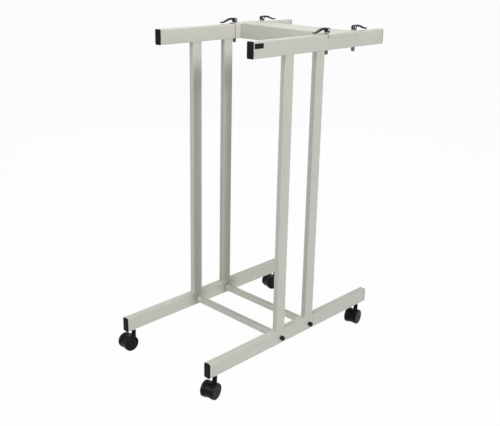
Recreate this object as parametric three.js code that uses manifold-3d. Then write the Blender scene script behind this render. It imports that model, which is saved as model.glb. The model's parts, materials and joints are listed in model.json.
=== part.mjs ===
// A plan hanging rack on castors: two welded side frames of rectangular tube, tied at the floor by
// two round cross tubes and at the top by a folded bridge that four cam clamps hold on the arms.
// Millimetres, +Z up, +Y to the rear. The arms reach forward, towards -Y.
import * as THREE from "three";
import { mergeVertices } from "three/addons/utils/BufferGeometryUtils.js";
import Module from "manifold-3d";

// Side frames. Arms and rails are cut from one section, the uprights from a lighter one.
const RACK_WIDTH = 440; // over the outer faces of the side frames
const RAIL_LENGTH = 793; // without its caps
const ARM_LENGTH = 629; // without its caps, flush with the rail at the rear
const UPRIGHT_LENGTH = 918;
const UPRIGHT_PITCH = 146; // front upright to rear upright
const BEAM_HEIGHT = 50;
const BEAM_WIDTH = 25;
const BEAM_WALL = 2;
const BEAM_CORNER = 4;
const UPRIGHT_DEPTH = 40;
const UPRIGHT_WIDTH = 20;
const UPRIGHT_WALL = 1.5;
const UPRIGHT_CORNER = 3;

// Moulded caps in the ends of the arms and rails
const CAP_FLANGE = 3.5;
const CAP_EDGE = 0.8;
const CAP_SPIGOT = 14;
const CAP_WALL = 1.5;
const CAP_CLEARANCE = 0.3;

// Cross tubes, their threaded plugs and the bolts through the rails
const TUBE_DIAMETER = 25.4;
const TUBE_WALL = 1.6;
const TUBE_AXIS_HEIGHT = 22; // above the underside of the rails
const CRIMP_INSET = 12; // the rolled groove that holds a plug, from the tube's end
const CRIMP_WIDTH = 2;
const CRIMP_DEPTH = 0.5;
const PLUG_LENGTH = 10.5; // stops short of the crimp
const PLUG_FLANGE = 2;
const PLUG_CLEARANCE = 0.3;
const BOLT_DIAMETER = 8;
const BOLT_CLEARANCE = 0.3;
const BOLT_HEAD_DIAMETER = 13;
const BOLT_HEAD_HEIGHT = 8;
const BOLT_TAIL = 3; // past the plug, inside the tube
const SOCKET_WIDTH = 6; // across flats
const SOCKET_DEPTH = 4;
const WASHER_DIAMETER = 19;
const WASHER_THICKNESS = 1.5;

// Bridge between the arms: a folded channel with a saddle over each arm
const BRIDGE_SETBACK = 216.5; // bridge centre, forward of the rear ends of the arms
const BRIDGE_DEPTH = 112;
const SHEET = 3;
const SHEET_BEND = 5; // outside radius of the folds
const SADDLE_LENGTH = 160;
const SADDLE_LIP = 12; // down the outer face of the arm
const SADDLE_CLEARANCE = 1.5;

// Cam clamps: rod, cross barrel, lever, seat and nut
const CLAMP_PITCH = 140; // front clamp to rear clamp on one arm
const ROD_DIAMETER = 5;
const ROD_CLEARANCE = 0.3;
const ROD_TAIL = 2; // below the nut
const BARREL_DIAMETER = 7;
const BARREL_CLEARANCE = 0.2;
const CAM_RADIUS = 7.4;
const CAM_ECCENTRICITY = 1;
const CAM_CLEARANCE = 0.4;
const CHEEK_WIDTH = 3.8;
const CHEEK_GAP = 5.8;
const SEAT_DIAMETER = 15.5;
const SEAT_FLOOR = 1.4; // under the cam
const SEAT_HEIGHT = 3.2;
const LEVER_LENGTH = 69; // pivot to tip
const LEVER_ROOT_WIDTH = 12.6;
const LEVER_WAIST_WIDTH = 9;
const LEVER_PADDLE_WIDTH = 11;
const LEVER_TIP_WIDTH = 6;
const LEVER_ROOT_THICKNESS = 6.6;
const LEVER_TIP_THICKNESS = 3.4;
const NUT_DIAMETER = 12;
const NUT_HEIGHT = 14;
const NUT_FLANGE_DIAMETER = 13;
const NUT_FLANGE = 2.5;
const NUT_FLATS = 10.4; // across the two spanner flats

// Twin-wheel castors
const STEM_INSET = 31.5; // from the rail's end
const STEM_DIAMETER = 10;
const STEM_CLEARANCE = 0.3;
const STEM_HOLD = 22; // above the underside of the rail
const COLLAR_WIDTH = 12; // across flats
const COLLAR_HEIGHT = 4.5;
const PIVOT_DIAMETER = 8; // the stem inside the castor's neck
const PIVOT_LENGTH = 19;
const CASTOR_HEIGHT = 70.5; // floor to rail
const CASTOR_TRAIL = 24; // stem axis to axle
const NECK_DIAMETER = 14;
const WHEEL_DIAMETER = 54;
const WHEEL_WIDTH = 13.5;
const WHEEL_SPAN = 47; // over the outer faces of a pair
const WHEEL_EDGE = 2.5;
const WHEEL_CLEARANCE = 0.3;
const WHEEL_CAP_DIAMETER = 40; // the round cap sunk in the outer face
const WHEEL_CAP_DEPTH = 1;
const AXLE_DIAMETER = 8;
const AXLE_HOLD = 8; // into each wheel
const HOOD_INSET = 1.5; // hood outline inside the wheel's
const HOOD_SKIRT = 13; // hood reach below the axle
const HOOD_EDGE = 1.2;
// Direction of trail seen from above, degrees from +X: the castors stand as the rack was last pushed.
const CASTOR_TURN = { right_front: -76, left_front: -92, right_rear: -78, left_rear: -104 };

// Smoothness of round forms
const ROUND_SEGMENTS = 20;
const SMALL_SEGMENTS = 12;
const HOLE_SEGMENTS = 10;
const CORNER_SEGMENTS = 2; // half the steps in a quarter turn
const HOOD_SEGMENTS = 6;
const BLADE_STEPS = 10; // along a lever
const BLADE_SEGMENTS = 8; // around it

// Places that follow from the sizes above; z = 0 at the underside of the rails
const SIDES = { left: -1, right: 1 };
const ENDS = { front: -1, rear: 1 };
const BEAM_CENTRE = (RACK_WIDTH - BEAM_WIDTH) / 2;
const INNER_WIDTH = RACK_WIDTH - 2 * BEAM_WIDTH;
const ARM_UNDERSIDE = BEAM_HEIGHT + UPRIGHT_LENGTH;
const ARM_TOP = ARM_UNDERSIDE + BEAM_HEIGHT;
const ARM_REAR = RAIL_LENGTH / 2;
const ARM_MIDDLE = ARM_REAR - ARM_LENGTH / 2;
const BRIDGE_MIDDLE = ARM_REAR - BRIDGE_SETBACK;
const BRIDGE_TOP = ARM_TOP + SHEET;
const CAM_CENTRE = BRIDGE_TOP + SEAT_FLOOR + CAM_CLEARANCE + CAM_RADIUS;
const LEVER_PIVOT = CAM_CENTRE + CAM_ECCENTRICITY;
const AXLE_HEIGHT = WHEEL_DIAMETER / 2 - CASTOR_HEIGHT;

const wasm = await Module();
wasm.setup();

// A closed geometry as a solid that can be joined and cut
function toSolid(geometry) {
  const bare = geometry.index ? geometry.toNonIndexed() : geometry.clone();
  bare.deleteAttribute("normal");
  bare.deleteAttribute("uv");
  const merged = mergeVertices(bare, 1e-4);
  return new wasm.Manifold(
    new wasm.Mesh({
      numProp: 3,
      vertProperties: merged.attributes.position.array,
      triVerts: new Uint32Array(merged.index.array),
    }),
  );
}

function fromSolid(solid) {
  const mesh = solid.getMesh();
  const geometry = new THREE.BufferGeometry();
  geometry.setAttribute("position", new THREE.BufferAttribute(mesh.vertProperties, mesh.numProp));
  geometry.setIndex(new THREE.BufferAttribute(mesh.triVerts, 1));
  geometry.computeVertexNormals();
  return geometry;
}

function join(...geometries) {
  return fromSolid(geometries.map(toSolid).reduce((whole, piece) => whole.add(piece)));
}

function cut(geometry, ...tools) {
  return fromSolid(tools.map(toSolid).reduce((whole, tool) => whole.subtract(tool), toSolid(geometry)));
}

// Finishes
const finish = (color, roughness, metalness) => () =>
  new THREE.MeshStandardMaterial({ color, roughness, metalness });
const powderCoat = finish(0xd3d2cb, 0.5, 0);
const blackMoulding = finish(0x1b1b1c, 0.55, 0);
const blackAlloy = finish(0x2b2b2d, 0.45, 0.6);
const greyAlloy = finish(0x86888a, 0.4, 0.9);
const brightZinc = finish(0xc2c5c8, 0.35, 1);
const blackSteel = finish(0x161617, 0.5, 0.5);
const darkSteel = finish(0x5a5b5d, 0.4, 0.9);

const rack = new THREE.Group();

function addPiece(parent, name, geometry, material) {
  const mesh = new THREE.Mesh(geometry, material());
  mesh.name = name;
  parent.add(mesh);
  return mesh;
}

function addGroup(parent, x, y, z) {
  const group = new THREE.Group();
  group.position.set(x, y, z);
  parent.add(group);
  return group;
}

// Round and straight forms

function roundedRectangle(path, width, height, radius) {
  const x = width / 2 - radius;
  const y = height / 2 - radius;
  path.absarc(x, -y, radius, -Math.PI / 2, 0);
  path.absarc(x, y, radius, 0, Math.PI / 2);
  path.absarc(-x, y, radius, Math.PI / 2, Math.PI);
  path.absarc(-x, -y, radius, Math.PI, 1.5 * Math.PI);
  path.closePath();
  return path;
}

function extrude(shape, depth, edge = 0, steps = CORNER_SEGMENTS) {
  return new THREE.ExtrudeGeometry(shape, {
    depth: depth - 2 * edge,
    curveSegments: steps,
    bevelEnabled: edge > 0,
    bevelThickness: edge,
    bevelSize: edge,
    bevelOffset: -edge,
    bevelSegments: 1,
  }).translate(0, 0, edge - depth / 2);
}

function rod(diameter, length, segments = SMALL_SEGMENTS) {
  return new THREE.CylinderGeometry(diameter / 2, diameter / 2, length, segments);
}

const alongX = (geometry) => geometry.rotateZ(-Math.PI / 2);
const alongZ = (geometry) => geometry.rotateX(Math.PI / 2);

// A hexagonal bar along Y, given across its flats
function hexagon(width, length) {
  const corner = width / Math.cos(Math.PI / 6) / 2;
  return new THREE.CylinderGeometry(corner, corner, length, 6);
}

// A form turned about Y from [radius, height] points
function turned(points, segments = SMALL_SEGMENTS) {
  return new THREE.LatheGeometry(
    points.map(([radius, height]) => new THREE.Vector2(radius, height)),
    segments,
  );
}

// Rectangular hollow section along Z, centred
function hollowSection(width, height, length, wall, corner) {
  const shape = roundedRectangle(new THREE.Shape(), width, height, corner);
  const bore = roundedRectangle(
    new THREE.Path(),
    width - 2 * wall,
    height - 2 * wall,
    Math.max(corner - wall, wall / 2),
  );
  shape.holes.push(bore);
  return extrude(shape, length);
}

// The same along Y: width stays along X, height goes along Z
function beam(length) {
  return hollowSection(BEAM_WIDTH, BEAM_HEIGHT, length, BEAM_WALL, BEAM_CORNER).rotateX(Math.PI / 2);
}

// Side frames

const clampPlaces = Object.values(ENDS).map((end) => BRIDGE_MIDDLE + (end * CLAMP_PITCH) / 2);
const uprightPlaces = Object.values(ENDS).map((end) => (end * UPRIGHT_PITCH) / 2);
const stemPlaces = Object.values(ENDS).map((end) => end * (RAIL_LENGTH / 2 - STEM_INSET));

// Arm with a drilled hole for each clamp rod
function armGeometry() {
  const hole = ROD_DIAMETER + 2 * ROD_CLEARANCE;
  const drills = clampPlaces.map((y) =>
    alongZ(rod(hole, 2 * BEAM_HEIGHT, HOLE_SEGMENTS)).translate(0, y - ARM_MIDDLE, 0),
  );
  return cut(beam(ARM_LENGTH), ...drills);
}

// Rail, drilled across for the tube bolts and from below for the castor stems
function railGeometry() {
  const boltHole = BOLT_DIAMETER + 2 * BOLT_CLEARANCE;
  const boltHeight = TUBE_AXIS_HEIGHT - BEAM_HEIGHT / 2;
  const boltDrills = uprightPlaces.map((y) =>
    alongX(rod(boltHole, 2 * BEAM_WIDTH, HOLE_SEGMENTS)).translate(0, y, boltHeight),
  );
  const stemHole = STEM_DIAMETER + 2 * STEM_CLEARANCE;
  const stemDrills = stemPlaces.map((y) =>
    alongZ(rod(stemHole, BEAM_HEIGHT, HOLE_SEGMENTS)).translate(0, y, -BEAM_HEIGHT / 2),
  );
  return cut(beam(RAIL_LENGTH), ...boltDrills, ...stemDrills);
}

// Cap pointing along -Y: the flange's back face at y = 0, then a spigot cored either side of a rib
function capGeometry() {
  const flange = extrude(
    roundedRectangle(new THREE.Shape(), BEAM_WIDTH, BEAM_HEIGHT, BEAM_CORNER),
    CAP_FLANGE,
    CAP_EDGE,
  ).translate(0, 0, CAP_FLANGE / 2);
  const width = BEAM_WIDTH - 2 * (BEAM_WALL + CAP_CLEARANCE);
  const height = BEAM_HEIGHT - 2 * (BEAM_WALL + CAP_CLEARANCE);
  const overlap = CAP_FLANGE / 2;
  const outline = roundedRectangle(new THREE.Shape(), width, height, BEAM_CORNER - BEAM_WALL);
  const spigot = extrude(outline, CAP_SPIGOT + overlap, 0, 1).translate(0, 0, (overlap - CAP_SPIGOT) / 2);
  const pocketHeight = (height - 3 * CAP_WALL) / 2;
  const pocket = (sign) =>
    new THREE.BoxGeometry(width - 2 * CAP_WALL, pocketHeight, 2 * CAP_SPIGOT).translate(
      0,
      (sign * (pocketHeight + CAP_WALL)) / 2,
      -CAP_SPIGOT,
    );
  return cut(join(flange, spigot), pocket(-1), pocket(1)).rotateX(Math.PI / 2);
}

function addCaps(name, x, middle, length, z) {
  for (const [end, sign] of Object.entries(ENDS)) {
    const cap = addPiece(rack, `${name}_${end}_cap`, capGeometry(), blackMoulding);
    cap.position.set(x, middle + (sign * length) / 2, z);
    cap.rotation.z = sign > 0 ? Math.PI : 0;
  }
}

for (const [side, sign] of Object.entries(SIDES)) {
  const x = sign * BEAM_CENTRE;
  const railCentre = BEAM_HEIGHT / 2;
  const armCentre = ARM_UNDERSIDE + BEAM_HEIGHT / 2;
  addPiece(rack, `${side}_rail`, railGeometry(), powderCoat).position.set(x, 0, railCentre);
  addPiece(rack, `${side}_arm`, armGeometry(), powderCoat).position.set(x, ARM_MIDDLE, armCentre);
  addCaps(`${side}_rail`, x, 0, RAIL_LENGTH, railCentre);
  addCaps(`${side}_arm`, x, ARM_MIDDLE, ARM_LENGTH, armCentre);
  Object.keys(ENDS).forEach((end, index) => {
    const upright = hollowSection(
      UPRIGHT_WIDTH,
      UPRIGHT_DEPTH,
      UPRIGHT_LENGTH,
      UPRIGHT_WALL,
      UPRIGHT_CORNER,
    );
    addPiece(rack, `${side}_${end}_upright`, upright, powderCoat).position.set(
      x,
      uprightPlaces[index],
      BEAM_HEIGHT + UPRIGHT_LENGTH / 2,
    );
  });
}

// Cross tubes

const tubeLength = INNER_WIDTH - 2 * PLUG_FLANGE;

// Round tube along X with a rolled groove near each end
function crossTubeGeometry() {
  const outer = TUBE_DIAMETER / 2;
  const inner = outer - TUBE_WALL;
  const half = tubeLength / 2;
  const crimp = half - CRIMP_INSET;
  const grooved = [
    [outer, -half],
    [outer, -crimp - CRIMP_WIDTH / 2],
    [outer - CRIMP_DEPTH, -crimp],
    [outer, -crimp + CRIMP_WIDTH / 2],
    [outer, crimp - CRIMP_WIDTH / 2],
    [outer - CRIMP_DEPTH, crimp],
    [outer, crimp + CRIMP_WIDTH / 2],
    [outer, half],
  ];
  return alongX(turned([[inner, -half], ...grooved, [inner, half], [inner, -half]], ROUND_SEGMENTS));
}

// Threaded plug along +X: the flange lies against the rail at x = 0, the body goes into the tube
function plugGeometry() {
  const bore = BOLT_DIAMETER / 2 + BOLT_CLEARANCE;
  const body = TUBE_DIAMETER / 2 - TUBE_WALL - PLUG_CLEARANCE;
  const flange = TUBE_DIAMETER / 2;
  return alongX(
    turned([
      [bore, 0],
      [flange, 0],
      [flange, PLUG_FLANGE],
      [body, PLUG_FLANGE],
      [body, PLUG_FLANGE + PLUG_LENGTH],
      [bore, PLUG_FLANGE + PLUG_LENGTH],
      [bore, 0],
    ]),
  );
}

// Socket-head bolt along +X with its washer: the washer lies on the rail's outer face at x = 0
function boltGeometry() {
  const shankEnd = BEAM_WIDTH + PLUG_FLANGE + PLUG_LENGTH + BOLT_TAIL;
  const headTop = -WASHER_THICKNESS - BOLT_HEAD_HEIGHT;
  const edge = BOLT_HEAD_DIAMETER / 16;
  const blank = turned([
    [0, headTop],
    [BOLT_HEAD_DIAMETER / 2 - edge, headTop],
    [BOLT_HEAD_DIAMETER / 2, headTop + edge],
    [BOLT_HEAD_DIAMETER / 2, -WASHER_THICKNESS],
    [WASHER_DIAMETER / 2, -WASHER_THICKNESS],
    [WASHER_DIAMETER / 2, 0],
    [BOLT_DIAMETER / 2, 0],
    [BOLT_DIAMETER / 2, shankEnd],
    [0, shankEnd],
  ]);
  const socket = hexagon(SOCKET_WIDTH, 2 * SOCKET_DEPTH).translate(0, headTop, 0);
  return alongX(cut(blank, socket));
}

Object.keys(ENDS).forEach((end, index) => {
  const y = uprightPlaces[index];
  const tube = addPiece(rack, `${end}_cross_tube`, crossTubeGeometry(), powderCoat);
  tube.position.set(0, y, TUBE_AXIS_HEIGHT);
  for (const [side, sign] of Object.entries(SIDES)) {
    const turn = sign > 0 ? Math.PI : 0;
    const plug = addPiece(rack, `${side}_${end}_tube_plug`, plugGeometry(), blackMoulding);
    plug.position.set((sign * INNER_WIDTH) / 2, y, TUBE_AXIS_HEIGHT);
    plug.rotation.z = turn;
    const bolt = addPiece(rack, `${side}_${end}_tube_bolt`, boltGeometry(), blackSteel);
    bolt.position.set((sign * RACK_WIDTH) / 2, y, TUBE_AXIS_HEIGHT);
    bolt.rotation.z = turn;
  }
});

// Bridge

// Outline of a strip folded down at both ends of its web: one sheet thick, rounded at the folds.
// The web's upper face lies on y = 0 between x = left and x = right.
function foldedStrip(left, right, leftDrop, rightDrop) {
  const bend = SHEET_BEND;
  const inside = SHEET_BEND - SHEET;
  const shape = new THREE.Shape();
  shape.moveTo(left, -leftDrop);
  shape.lineTo(left + SHEET, -leftDrop);
  shape.absarc(left + bend, -bend, inside, Math.PI, Math.PI / 2, true);
  shape.absarc(right - bend, -bend, inside, Math.PI / 2, 0, true);
  shape.lineTo(right - SHEET, -rightDrop);
  shape.lineTo(right, -rightDrop);
  shape.absarc(right - bend, -bend, bend, 0, Math.PI / 2);
  shape.absarc(left + bend, -bend, bend, Math.PI / 2, Math.PI);
  shape.closePath();
  return shape;
}

// Saddle over the right arm: full-height inner leg, web across the top and a short outer lip
function saddleGeometry() {
  const inner = INNER_WIDTH / 2 - SADDLE_CLEARANCE - SHEET;
  const outer = RACK_WIDTH / 2 + SADDLE_CLEARANCE + SHEET;
  const profile = foldedStrip(inner, outer, SHEET + BEAM_HEIGHT, SHEET + SADDLE_LIP);
  const hole = ROD_DIAMETER + 2 * ROD_CLEARANCE;
  const drills = clampPlaces.map((y) =>
    alongZ(rod(hole, 4 * SHEET, HOLE_SEGMENTS)).translate(BEAM_CENTRE, y - BRIDGE_MIDDLE, 0),
  );
  return cut(extrude(profile, SADDLE_LENGTH).rotateX(Math.PI / 2), ...drills);
}

// Channel across the bay, open below, its ends let into the inner legs of the saddles
function bridgeGeometry() {
  const half = BRIDGE_DEPTH / 2;
  const profile = foldedStrip(-half, half, SHEET + BEAM_HEIGHT, SHEET + BEAM_HEIGHT);
  const span = INNER_WIDTH - 2 * SADDLE_CLEARANCE - SHEET;
  const channel = extrude(profile, span).rotateX(Math.PI / 2).rotateZ(Math.PI / 2);
  const right = saddleGeometry();
  const left = saddleGeometry().rotateZ(Math.PI);
  return join(channel, left, right);
}

addPiece(rack, "bridge", bridgeGeometry(), powderCoat).position.set(0, BRIDGE_MIDDLE, BRIDGE_TOP);

// Cam clamps. Each is built about its pivot with the lever lying along -Y.

const camWidth = CHEEK_GAP + 2 * CHEEK_WIDTH;
const nutTop = ARM_UNDERSIDE - LEVER_PIVOT;

// Rod with its cross barrel, from the pivot down to below the nut
function skewerGeometry() {
  const length = NUT_HEIGHT + ROD_TAIL - nutTop;
  const shaft = alongZ(rod(ROD_DIAMETER, length)).translate(0, 0, -length / 2);
  return join(shaft, alongX(rod(BARREL_DIAMETER, camWidth)));
}

// Cradle washer: a round pad with a trough for the cam and a hole for the rod
function seatGeometry() {
  const underside = BRIDGE_TOP - LEVER_PIVOT;
  const pad = alongZ(rod(SEAT_DIAMETER, SEAT_HEIGHT, ROUND_SEGMENTS)).translate(
    0,
    0,
    underside + SEAT_HEIGHT / 2,
  );
  const trough = alongX(rod(2 * (CAM_RADIUS + CAM_CLEARANCE), 2 * SEAT_DIAMETER, ROUND_SEGMENTS));
  const hole = alongZ(rod(ROD_DIAMETER + 2 * ROD_CLEARANCE, 4 * SEAT_HEIGHT)).translate(0, 0, underside);
  return cut(pad, trough.translate(0, 0, -CAM_ECCENTRICITY), hole);
}

// Lever blade: a strip with rounded edges swept along an S-curve, from the cam to an upturned tip
function bladeGeometry() {
  const crown = CAM_RADIUS - CAM_ECCENTRICITY - LEVER_ROOT_THICKNESS / 2;
  // Along the lever as a part of its length, rise as a part of the crown's height, and width
  const stations = [
    [0.06, 1, LEVER_ROOT_WIDTH],
    [0.22, 1.4, LEVER_ROOT_WIDTH],
    [0.45, 0.7, LEVER_WAIST_WIDTH],
    [0.7, -1.4, LEVER_WAIST_WIDTH],
    [0.86, -2.3, LEVER_PADDLE_WIDTH],
    [1, -1.8, LEVER_TIP_WIDTH],
  ];
  const spine = new THREE.CatmullRomCurve3(
    stations.map(([along, rise]) => new THREE.Vector3(0, -along * LEVER_LENGTH, rise * crown)),
  );
  const widths = new THREE.SplineCurve(stations.map(([along, , width]) => new THREE.Vector2(along, width)));
  const squared = (value) => Math.sign(value) * Math.sqrt(Math.abs(value));
  const ring = BLADE_SEGMENTS;
  const positions = [];
  const indices = [];
  for (let step = 0; step <= BLADE_STEPS; step++) {
    const along = step / BLADE_STEPS;
    const point = spine.getPoint(along);
    const tangent = spine.getTangent(along);
    const width = widths.getPoint(along).y;
    const thickness = THREE.MathUtils.lerp(LEVER_ROOT_THICKNESS, LEVER_TIP_THICKNESS, along);
    for (let side = 0; side < ring; side++) {
      const angle = ((side + 0.5) / ring) * 2 * Math.PI;
      const across = (squared(Math.cos(angle)) * width) / 2;
      const upward = (squared(Math.sin(angle)) * thickness) / 2;
      positions.push(across, point.y + tangent.z * upward, point.z - tangent.y * upward);
    }
  }
  for (let step = 0; step < BLADE_STEPS; step++) {
    for (let side = 0; side < ring; side++) {
      const a = step * ring + side;
      const b = step * ring + ((side + 1) % ring);
      indices.push(a, b, a + ring, b, b + ring, a + ring);
    }
  }
  const last = BLADE_STEPS * ring;
  for (let side = 1; side < ring - 1; side++) {
    indices.push(0, side + 1, side);
    indices.push(last, last + side, last + side + 1);
  }
  const blade = new THREE.BufferGeometry();
  blade.setAttribute("position", new THREE.Float32BufferAttribute(positions, 3));
  blade.setIndex(indices);
  return blade;
}

// Lever: two eccentric cheeks either side of the rod, the blade, and the barrel's hole through both
function leverGeometry() {
  const cheek = (sign) =>
    alongX(rod(2 * CAM_RADIUS, CHEEK_WIDTH, ROUND_SEGMENTS)).translate(
      (sign * (CHEEK_GAP + CHEEK_WIDTH)) / 2,
      0,
      -CAM_ECCENTRICITY,
    );
  const hole = alongX(rod(BARREL_DIAMETER + 2 * BARREL_CLEARANCE, 2 * camWidth));
  return cut(join(cheek(-1), cheek(1), bladeGeometry()), hole);
}

// Nut under the arm: a flanged barrel with two spanner flats
function nutGeometry() {
  const bore = ROD_DIAMETER / 2 + ROD_CLEARANCE;
  const edge = NUT_DIAMETER / 12;
  const blank = turned([
    [bore, -NUT_HEIGHT],
    [NUT_DIAMETER / 2 - edge, -NUT_HEIGHT],
    [NUT_DIAMETER / 2, edge - NUT_HEIGHT],
    [NUT_DIAMETER / 2, -NUT_FLANGE],
    [NUT_FLANGE_DIAMETER / 2, -NUT_FLANGE],
    [NUT_FLANGE_DIAMETER / 2, 0],
    [bore, 0],
    [bore, -NUT_HEIGHT],
  ]);
  const flat = (sign) =>
    new THREE.BoxGeometry(NUT_DIAMETER, NUT_HEIGHT, 2 * NUT_DIAMETER).translate(
      (sign * (NUT_FLATS + NUT_DIAMETER)) / 2,
      -NUT_FLANGE - NUT_HEIGHT / 2,
      0,
    );
  return alongZ(cut(blank, flat(-1), flat(1)));
}

for (const [side, sideSign] of Object.entries(SIDES)) {
  Object.entries(ENDS).forEach(([end, endSign], index) => {
    const clamp = addGroup(rack, sideSign * BEAM_CENTRE, clampPlaces[index], LEVER_PIVOT);
    clamp.rotation.z = endSign > 0 ? Math.PI : 0;
    addPiece(clamp, `${side}_${end}_skewer`, skewerGeometry(), brightZinc);
    addPiece(clamp, `${side}_${end}_cam_lever`, leverGeometry(), blackAlloy);
    addPiece(clamp, `${side}_${end}_cam_seat`, seatGeometry(), greyAlloy);
    addPiece(clamp, `${side}_${end}_clamp_nut`, nutGeometry(), darkSteel).position.z = nutTop;
  });
}

// Castors. Each is built about its stem at the underside of the rail, trailing along +X.

const neckTop = -COLLAR_HEIGHT - WHEEL_CLEARANCE;
const hoodRadius = WHEEL_DIAMETER / 2 - HOOD_INSET;
const hoodWidth = WHEEL_SPAN - 2 * WHEEL_WIDTH - 2 * WHEEL_CLEARANCE;

// Stem: thread up into the rail, hex collar under it, plain pivot down into the castor's neck
function stemGeometry() {
  const threadLength = STEM_HOLD + COLLAR_HEIGHT;
  const thread = rod(STEM_DIAMETER, threadLength).translate(0, threadLength / 2 - COLLAR_HEIGHT, 0);
  const collar = hexagon(COLLAR_WIDTH, COLLAR_HEIGHT).translate(0, -COLLAR_HEIGHT / 2, 0);
  const pivotLength = PIVOT_LENGTH + COLLAR_HEIGHT;
  const pivot = rod(PIVOT_DIAMETER, pivotLength).translate(0, -pivotLength / 2, 0);
  return alongZ(join(thread, collar, pivot));
}

// Hood: a slim housing between the wheels, rising into the neck, with the axle through it
function castorBodyGeometry() {
  const neck = NECK_DIAMETER / 2;
  const shoulder = neckTop - NECK_DIAMETER / 2;
  const skirtAngle = Math.asin(HOOD_SKIRT / hoodRadius);
  const neckAngle = Math.acos((neck - CASTOR_TRAIL) / hoodRadius);
  const outline = new THREE.Shape();
  outline.moveTo(-neck, shoulder);
  outline.quadraticCurveTo(
    -neck,
    AXLE_HEIGHT,
    CASTOR_TRAIL - hoodRadius * Math.cos(skirtAngle),
    AXLE_HEIGHT - HOOD_SKIRT,
  );
  outline.absarc(CASTOR_TRAIL, AXLE_HEIGHT, hoodRadius, -skirtAngle, neckAngle);
  outline.lineTo(neck, shoulder);
  outline.closePath();
  const hood = extrude(outline, hoodWidth, HOOD_EDGE, HOOD_SEGMENTS).rotateX(Math.PI / 2);
  const collar = alongZ(rod(NECK_DIAMETER, neckTop - AXLE_HEIGHT, ROUND_SEGMENTS)).translate(
    0,
    0,
    (neckTop + AXLE_HEIGHT) / 2,
  );
  const socketWidth = PIVOT_DIAMETER + 2 * STEM_CLEARANCE;
  const socketDepth = PIVOT_LENGTH + WHEEL_CLEARANCE;
  const socket = alongZ(rod(socketWidth, 2 * socketDepth)).translate(0, 0, -COLLAR_HEIGHT);
  const axle = rod(AXLE_DIAMETER, hoodWidth + 2 * (AXLE_HOLD + WHEEL_CLEARANCE)).translate(
    CASTOR_TRAIL,
    0,
    AXLE_HEIGHT,
  );
  return cut(join(hood, collar, axle), socket);
}

// Wheel on the +Y side of the hood: inner face at y = 0, blind axle bore, a cap sunk in the outer face
function wheelGeometry() {
  const tread = WHEEL_DIAMETER / 2;
  const bore = AXLE_DIAMETER / 2 + WHEEL_CLEARANCE;
  const boreDepth = AXLE_HOLD + WHEEL_CLEARANCE;
  const cap = WHEEL_CAP_DIAMETER / 2;
  return turned(
    [
      [0, boreDepth],
      [bore, boreDepth],
      [bore, 0],
      [tread - WHEEL_EDGE / 2, 0],
      [tread, WHEEL_EDGE / 2],
      [tread, WHEEL_WIDTH - WHEEL_EDGE],
      [tread - WHEEL_EDGE, WHEEL_WIDTH],
      [cap + WHEEL_CAP_DEPTH, WHEEL_WIDTH],
      [cap, WHEEL_WIDTH - WHEEL_CAP_DEPTH],
      [0, WHEEL_WIDTH - WHEEL_CAP_DEPTH],
    ],
    ROUND_SEGMENTS,
  );
}

for (const [side, sideSign] of Object.entries(SIDES)) {
  Object.keys(ENDS).forEach((end, index) => {
    const name = `${side}_${end}`;
    const castor = addGroup(rack, sideSign * BEAM_CENTRE, stemPlaces[index], 0);
    addPiece(castor, `${name}_castor_stem`, stemGeometry(), brightZinc);
    const swivel = addGroup(castor, 0, 0, 0);
    swivel.rotation.z = THREE.MathUtils.degToRad(CASTOR_TURN[name]);
    addPiece(swivel, `${name}_castor_body`, castorBodyGeometry(), blackMoulding);
    for (const [wheelSide, sign] of Object.entries(SIDES)) {
      const wheel = addPiece(swivel, `${name}_castor_${wheelSide}_wheel`, wheelGeometry(), blackMoulding);
      wheel.position.set(CASTOR_TRAIL, sign * (WHEEL_SPAN / 2 - WHEEL_WIDTH), AXLE_HEIGHT);
      wheel.rotation.x = sign > 0 ? 0 : Math.PI;
    }
  });
}

// The origin is on the floor, under the middle of the rack's outline.
const reach = new THREE.Box3().setFromObject(rack, true);
const middle = reach.getCenter(new THREE.Vector3());
rack.position.set(0, -Math.round(middle.y), CASTOR_HEIGHT);

export default rack;
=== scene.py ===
import json
import math

import bmesh
import bpy
from mathutils import Matrix, Vector


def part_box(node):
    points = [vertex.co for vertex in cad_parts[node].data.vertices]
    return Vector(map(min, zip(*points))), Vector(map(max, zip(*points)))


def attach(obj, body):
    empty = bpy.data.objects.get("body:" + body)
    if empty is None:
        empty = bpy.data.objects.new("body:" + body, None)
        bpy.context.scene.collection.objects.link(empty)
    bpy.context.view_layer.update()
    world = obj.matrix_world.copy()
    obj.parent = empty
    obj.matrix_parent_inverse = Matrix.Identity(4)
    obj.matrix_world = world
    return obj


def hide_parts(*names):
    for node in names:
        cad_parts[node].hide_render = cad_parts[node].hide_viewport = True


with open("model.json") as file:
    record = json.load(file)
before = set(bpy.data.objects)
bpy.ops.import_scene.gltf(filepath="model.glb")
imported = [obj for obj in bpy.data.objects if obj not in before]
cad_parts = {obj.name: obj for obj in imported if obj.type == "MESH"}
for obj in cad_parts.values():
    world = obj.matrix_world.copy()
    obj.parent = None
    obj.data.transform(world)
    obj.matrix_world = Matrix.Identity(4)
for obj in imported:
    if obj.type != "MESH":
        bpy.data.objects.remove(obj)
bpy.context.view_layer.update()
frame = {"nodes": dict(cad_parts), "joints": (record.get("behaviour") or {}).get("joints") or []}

# Side frames
# Each side is one welding of rectangular steel tube: a 50 x 25 mm rail and arm, with two 40 x 20 mm
# uprights butted between them. It is powder coated after welding, so one skin covers tube and weld.
MM = 0.001
X, Y, Z = 0, 1, 2  # places in a vector
SIDES = {"left": -1, "right": 1}
ENDS = {"front": -1, "rear": 1}
BEAM_WALL, BEAM_CORNER = 2 * MM, 4 * MM
UPRIGHT_WALL, UPRIGHT_CORNER = 1.5 * MM, 3 * MM
ROD_HOLE, BOLT_HOLE, STEM_HOLE = 5.6 * MM, 8.6 * MM, 10.6 * MM
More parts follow.
